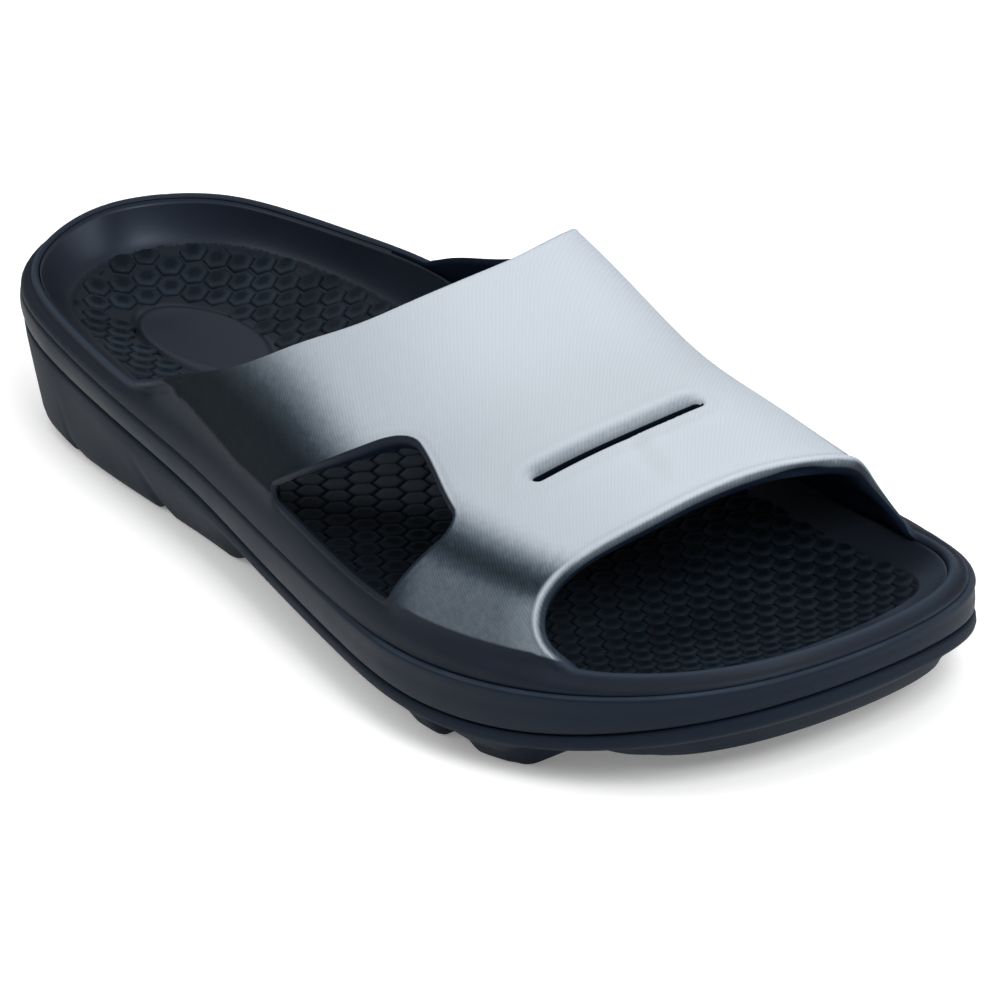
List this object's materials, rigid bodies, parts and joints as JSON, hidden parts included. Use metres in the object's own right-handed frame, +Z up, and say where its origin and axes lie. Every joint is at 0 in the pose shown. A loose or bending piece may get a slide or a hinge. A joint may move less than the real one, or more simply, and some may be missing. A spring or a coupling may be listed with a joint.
{
  "type": "sport slide sandal",
  "caption": "Right foot slide sandal of moulded foam: lugged sole, cupped footbed and one broad instep band with a side window and a slot on top.",
  "frame": {"origin": "on the floor under the sole, at the middle of the bounding box", "axes": "+Y towards the toe, +X towards the outer side of the right foot, +Z up from the floor"},
  "size_m": [0.107, 0.296, 0.0758],
  "materials": {
    "outsole": "satin moulded foam rubber, dark navy",
    "midsole": "satin moulded foam, dark navy",
    "footbed": "matt moulded foam, near black",
    "upper": "fine woven film fading from ice grey to dark navy, over foam"
  },
  "bodies": {
    "root": {"outsole": "outsole", "midsole": "midsole", "footbed": "footbed", "upper": "upper"}
  },
  "joints": []
}
